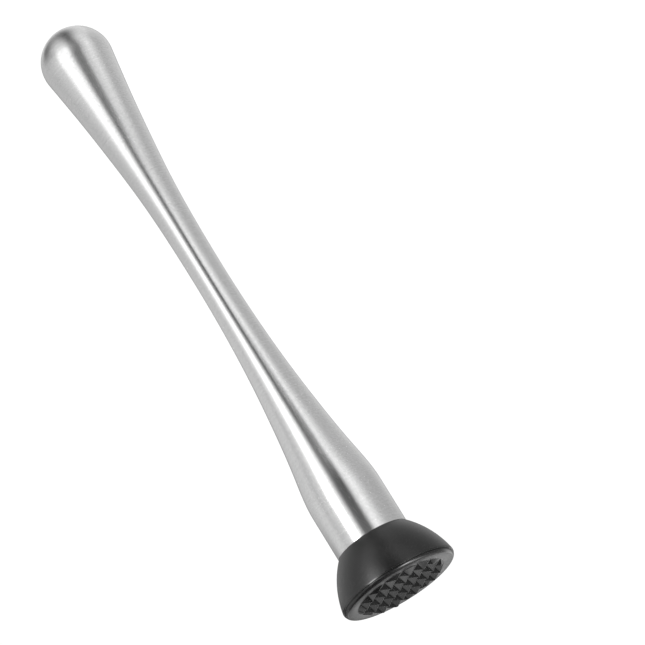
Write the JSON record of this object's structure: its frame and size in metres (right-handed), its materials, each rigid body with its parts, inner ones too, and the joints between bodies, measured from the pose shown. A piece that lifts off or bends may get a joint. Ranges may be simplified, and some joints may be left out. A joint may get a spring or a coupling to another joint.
{
  "type": "muddler",
  "caption": "Bar muddler: hourglass hollow steel handle with a round knob, and a screw-on domed nylon head with pyramid teeth.",
  "frame": {"origin": "on the muddler's axis, in the plane of the tooth tips that it stands on", "axes": "+Z along the axis from the toothed head to the knob; +X and +Y along the grid lines between the teeth"},
  "size_m": [0.038, 0.038, 0.21],
  "materials": {
    "brushed_stainless": "fine brushed stainless steel",
    "turned_steel": "machined stainless steel",
    "seal_rubber": "matte black rubber",
    "black_nylon": "satin black moulded nylon, glossy on lip and teeth",
    "bolt_steel": "plain stainless bolt"
  },
  "bodies": {
    "handle": {"handle_tube": "brushed_stainless", "knob_cap": "brushed_stainless", "threaded_bush": "turned_steel"},
    "seal": {"seal_washer": "seal_rubber"},
    "head": {"muddler_head": "black_nylon", "head_stud": "bolt_steel"}
  },
  "joints": [
    {"name": "head_advance", "type": "slide", "parent": "handle", "child": "seal", "axis": [0, 0, -1], "range_m": [0, 0.012]},
    {"name": "head_turn", "type": "hinge", "parent": "seal", "child": "head", "pos_m": [0, 0, 0.0182], "axis": [0, 0, -1], "range_deg": [0, 2880]}
  ],
  "couplings": [
    {"joint": "head_advance", "follows": "head_turn", "m_per_rad": 0.00023873}
  ]
}
